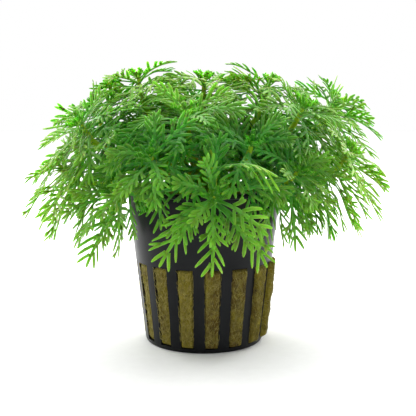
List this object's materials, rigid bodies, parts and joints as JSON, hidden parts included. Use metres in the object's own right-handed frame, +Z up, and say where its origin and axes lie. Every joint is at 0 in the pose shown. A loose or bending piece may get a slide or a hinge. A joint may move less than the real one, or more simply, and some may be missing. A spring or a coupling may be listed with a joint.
{
  "type": "potted aquarium plant",
  "caption": "Water violet with feathery whorled leaves on a bunch of stems, planted in rock wool in a slotted net pot that stands on its flat underside.",
  "frame": {"origin": "centre of the pot's underside, on the ground", "axes": "+Z up along the pot's axis, -Y towards the front of the plant, +X to its right seen from the front"},
  "size_m": [0.1197, 0.0943, 0.0908],
  "materials": {
    "black_plastic": "satin moulded plastic, blue-black",
    "mineral_wool": "damp fibrous rock wool, olive brown",
    "leaf_green": "fresh green leaf and stem, slightly waxy"
  },
  "bodies": {
    "root": {"leaf_01_a": "leaf_green", "leaf_01_b": "leaf_green", "leaf_01_c": "leaf_green", "leaf_02_a": "leaf_green", "leaf_02_b": "leaf_green", "leaf_02_c": "leaf_green", "leaf_03_a": "leaf_green", "leaf_03_b": "leaf_green", "leaf_03_c": "leaf_green", "leaf_04_a": "leaf_green", "leaf_04_b": "leaf_green", "leaf_04_c": "leaf_green", "leaf_05_a": "leaf_green", "leaf_05_b": "leaf_green", "leaf_05_c": "leaf_green", "leaf_06_a": "leaf_green", "leaf_06_b": "leaf_green", "leaf_06_c": "leaf_green", "leaf_08_a": "leaf_green", "leaf_09_a": "leaf_green", "leaf_10_a": "leaf_green", "leaf_11_a": "leaf_green", "leaf_11_b": "leaf_green", "leaf_11_c": "leaf_green", "leaf_12_a": "leaf_green", "leaf_12_b": "leaf_green", "leaf_12_c": "leaf_green", "leaf_13_a": "leaf_green", "leaf_13_b": "leaf_green", "leaf_13_c": "leaf_green", "leaf_14_a": "leaf_green", "leaf_14_b": "leaf_green", "leaf_14_c": "leaf_green", "leaf_15_a": "leaf_green", "leaf_15_b": "leaf_green", "leaf_15_c": "leaf_green", "leaf_16_a": "leaf_green", "leaf_16_b": "leaf_green", "leaf_16_c": "leaf_green", "leaf_17_a": "leaf_green", "leaf_17_b": "leaf_green", "pot": "black_plastic", "rock_wool": "mineral_wool", "shoot_01": "leaf_green", "shoot_02": "leaf_green", "shoot_03": "leaf_green", "shoot_04": "leaf_green", "shoot_05": "leaf_green", "shoot_06": "leaf_green", "shoot_07": "leaf_green", "shoot_08": "leaf_green", "shoot_09": "leaf_green", "shoot_10": "leaf_green", "shoot_11": "leaf_green", "shoot_12": "leaf_green", "shoot_13": "leaf_green", "shoot_14": "leaf_green", "shoot_15": "leaf_green", "shoot_16": "leaf_green", "shoot_17": "leaf_green"}
  },
  "joints": []
}
